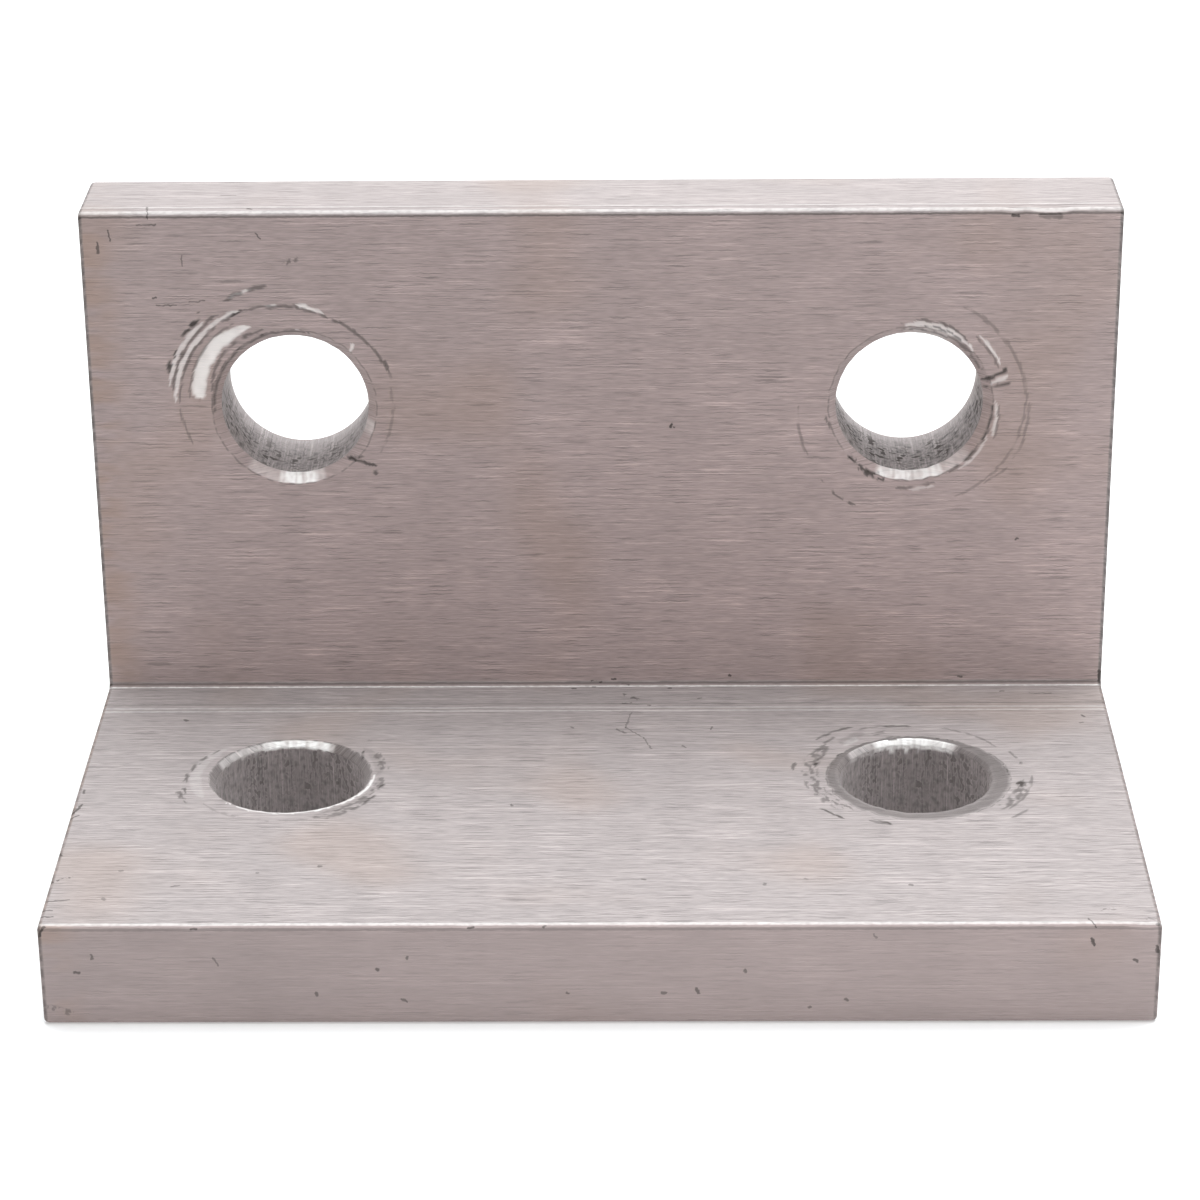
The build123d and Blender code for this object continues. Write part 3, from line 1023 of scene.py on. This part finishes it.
def metal_group():
    """The bracket's metal with the marks that its attributes give, and the painted highlights and painted
    shade of the lines along the edges and the root. Nicks adds the dark of nicks, 0 to 1. Gives the
    colour, how smooth it is, and the height of its grain, -1 to 1."""
    graph, given = new_group("drawn metal", ["Nicks"], [("Colour", "Color"), "Polish", "Height"])
    product, minus, ramp = graph.product, graph.minus, graph.ramp
    lay = graph.attribute("lay", "Vector")
    along_x, place = graph.split(lay)
    wander = minus(graph.noise(lay, 0.45 * MM), 0.5)
    flecks = graph.noise(graph.vector("ADD", lay, (3, 5, 0)), 0.5 * MM)
    stretched = graph.vector("MULTIPLY", lay, (1 / (7 * MM), 1 / (2.2 * MM), 0))
    clouds = graph.noise(stretched, detail=2.0)
    colour, height = metal_tone(graph, lay, along_x, wander, (flecks, clouds))

    marked, torn, rim = (graph.attribute(name) for name in ("marked", "torn", "rim"))
    # Painted highlight and painted shade lines along the edges and the root
    light, dark = painted_edge_lines(graph, graph.math("MULTIPLY_ADD", wander, 0.08 * MM, place))
    streaks = ramp(flecks, 0.3, 0.6, 0.7, 1.0)
    # Painted highlight: the chamfers' bright sectors and the bores' entrances, smoother metal too
    cut = ramp(rim, 0.0, 0.05 * MM)
    chamfer = product(graph.attribute("polish_and_highlight"), cut, streaks)
    # Bared metal of the marks, partly painted highlight, and the painted edge highlights
    bare_and_highlight = product(graph.attribute("bare_and_highlight"), minus(1.0, cut))
    bare_and_highlight = graph.math("MAXIMUM", bare_and_highlight, product(light, marked, streaks))
    bright = graph.math("MINIMUM", graph.math("MAXIMUM", chamfer, bare_and_highlight), 1.0)

    outline = ramp(graph.math("ABSOLUTE", rim), 0.08 * MM, 0.02 * MM)
    pits = product(ramp(clouds, 0.42, 0.60, 0.2, 1.0), ramp(flecks, 0.53, 0.64))
    # Dirt and painted shade: the marks' dark with the painted shade of unpolished chamfers, the painted shade
    # lines, a dark line along each chamfer's outer edge, pits in torn bores, burrs on the sawn ends, and
    # nicks
    dirt_and_shade = graph.total(
        graph.attribute("dark"),
        product(dark, marked),
        product(outline, ramp(flecks, 0.30, 0.60), 0.30),
        product(torn, pits, 0.5),
        product(graph.attribute("burr"), ramp(flecks, 0.35, 0.6, 0.3, 0.6)),
        product(given["Nicks"], marked),
    )
    # Blends towards bared metal and painted highlight, then towards dirt and painted shade
    colour = graph.blend(bright, colour, BARE_METAL_AND_HIGHLIGHT)
    colour = graph.blend(graph.math("MINIMUM", dirt_and_shade, DARKEST_DIRT_AND_SHADE), colour, DIRT_AND_SHADE)
    graph.node("NodeGroupOutput", colour, chamfer, height)
    return graph.tree


GROUPS = {"lines": hairlines_group(), "scratch": scratch_group()}
GROUPS["metal"] = metal_group()


def new_material(name):
    """A material, its graph, and the inputs of its shader."""
    material = bpy.data.materials.new(name)
    material.use_nodes = True
    return material, Graph(material.node_tree), material.node_tree.nodes["Principled BSDF"].inputs


def finish_metal(graph, inputs, nicks):
    """Feeds the metal's look to its shader."""
    colour, polish_and_highlight, grain = graph.group("metal", nicks)
    graph.feed(inputs["Base Color"], colour)
    inputs["Metallic"].default_value = 1.0
    graph.feed(inputs["Roughness"], graph.math("MULTIPLY_ADD", polish_and_highlight, -0.3, 0.95))
    bump = graph.node("ShaderNodeBump")
    bump.inputs["Strength"].default_value = 1.0
    bump.inputs["Distance"].default_value = 0.016 * MM
    graph.feed(bump.inputs["Height"], grain)
    graph.feed(inputs["Normal"], bump.outputs[0])


def worn_aluminium():
    """Mill-finish aluminium, with the marks of the drilling and of the stock's edges, painted highlights on
    the chamfers and edges, and painted shade beside the edges, in the root and on unpolished chamfers.
    """
    material, graph, inputs = new_material("worn aluminium")
    finish_metal(graph, inputs, 0.0)
    return material


def nicked_aluminium():
    """The same metal where nicks, pits and scratches from handling may touch it."""
    material, graph, inputs = new_material("nicked aluminium")
    lay = graph.attribute("lay", "Vector")
    right, up = graph.split(lay)
    torn = graph.noise(lay, 0.3 * MM)
    flecks = graph.noise(graph.vector("ADD", lay, (1, 2, 0)), 0.35 * MM)
    right = graph.math("MULTIPLY_ADD", graph.minus(torn, 0.5), 0.2 * MM, right)
    up = graph.math("MULTIPLY_ADD", graph.minus(flecks, 0.5), 0.2 * MM, up)
    sums = {True: 0.0, False: 0.0}
    for mark in FACE_MARKS:
        run = Vector((mark.run_x, mark.run_v)) * MM
        line = (mark.x * MM, mark.v * MM, *run.normalized(), run.length, mark.half_width * MM)
        body = graph.group("scratch", right, up, *line)[0]
        sums[mark.scuffed] = graph.math("MULTIPLY_ADD", body, -mark.tone, sums[mark.scuffed])
    scuffed = graph.product(sums[True], graph.ramp(flecks, 0.47, 0.60))
    finish_metal(graph, inputs, graph.total(sums[False], scuffed))
    return material


# -------- stage, light and camera

WHITE = (1, 1, 1, 1)
FLOOR_REACH = 4.0
SENSOR_WIDTH = 36


def seen_or_reflected(graph):
    """1 for camera, glossy and transmission rays, 0 for the rays that light the object."""
    path = graph.node("ShaderNodeLightPath").outputs
    kinds = (path[name] for name in ("Is Camera Ray", "Is Glossy Ray", "Is Transmission Ray"))
    return reduce(partial(graph.math, "MAXIMUM"), kinds)


def white_floor():
    """A wide pale floor that shows white and keeps the object's shadow."""
    mesh = bpy.data.meshes.new("floor")
    corners = [(FLOOR_REACH * x, FLOOR_REACH * y, 0) for x, y in ((-1, -1), (1, -1), (1, 1), (-1, 1))]
    mesh.from_pydata(corners, [], [(0, 1, 2, 3)])
    floor = new_object("floor", mesh)
    material, graph, inputs = new_material("white floor")
    looks = {"Base Color": (0.8, 0.8, 0.8, 1), "Roughness": 0.9, "Specular IOR Level": 0.0}
    for name, value in looks.items():
        inputs[name].default_value = value
    inputs["Emission Color"].default_value = WHITE
    graph.feed(inputs["Emission Strength"], graph.product(seen_or_reflected(graph), 0.3))
    mesh.materials.append(material)


def white_room():
    """The world: plain soft light on the object, and white where it is seen or reflected."""
    world = bpy.data.worlds.new("studio")
    bpy.context.scene.world = world
    world.use_nodes = True
    graph = Graph(world.node_tree)
    graph.tree.nodes.clear()
    lit, seen = (graph.node("ShaderNodeBackground", WHITE, light).outputs[0] for light in (0.6, 1.0))
    mix = graph.node("ShaderNodeMixShader", seen_or_reflected(graph), lit, seen)
    graph.node("ShaderNodeOutputWorld", mix.outputs[0])


def soft_lamp(name, place, size, watts, colour):
    """A wide rectangular lamp that looks at the middle of the bracket."""
    lamp = bpy.data.lights.new(name, "AREA")
    lamp.shape = "RECTANGLE"
    lamp.size, lamp.size_y = size
    lamp.energy, lamp.color = watts, colour
    holder = new_object(name, lamp)
    holder.location = place
    holder.rotation_mode = "QUATERNION"
    middle = Vector((0, 0, leg_height / 2))
    holder.rotation_quaternion = (middle - Vector(place)).to_track_quat("-Z", "Y")


def aim_camera(target, distance, azimuth, elevation, roll, lens):
    """A camera at a distance from its target, turned about +Z by the azimuth, raised by the
    elevation and rolled about its own axis."""
    a, e = azimuth * DEGREE, elevation * DEGREE
    behind = Vector((sin(a) * cos(e), -cos(a) * cos(e), sin(e)))
    camera = new_object("camera", bpy.data.cameras.new("camera"))
    camera.data.lens, camera.data.sensor_width = lens, SENSOR_WIDTH
    turn = (-behind).to_track_quat("-Z", "Y").to_matrix().to_4x4()
    spot = Matrix.Translation(Vector(target) + distance * behind)
    camera.matrix_world = spot @ turn @ Matrix.Rotation(roll * DEGREE, 4, "Z")
    bpy.context.scene.camera = camera


# -------- put together

bracket = bracket_skin()
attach(bracket, "root")
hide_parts("corner_bracket")

white_floor()
white_room()
soft_lamp("lamp above", (0.10, 0.20, 0.78), size=(0.9, 0.6), watts=10.6, colour=(0.91, 0.98, 1))
aim_camera(
    (-0.00002, -0.00042, 0.01812), 0.22495, azimuth=0.88, elevation=24.136, roll=-0.557, lens=113.345
)

bpy.context.scene.view_settings.view_transform = "Standard"
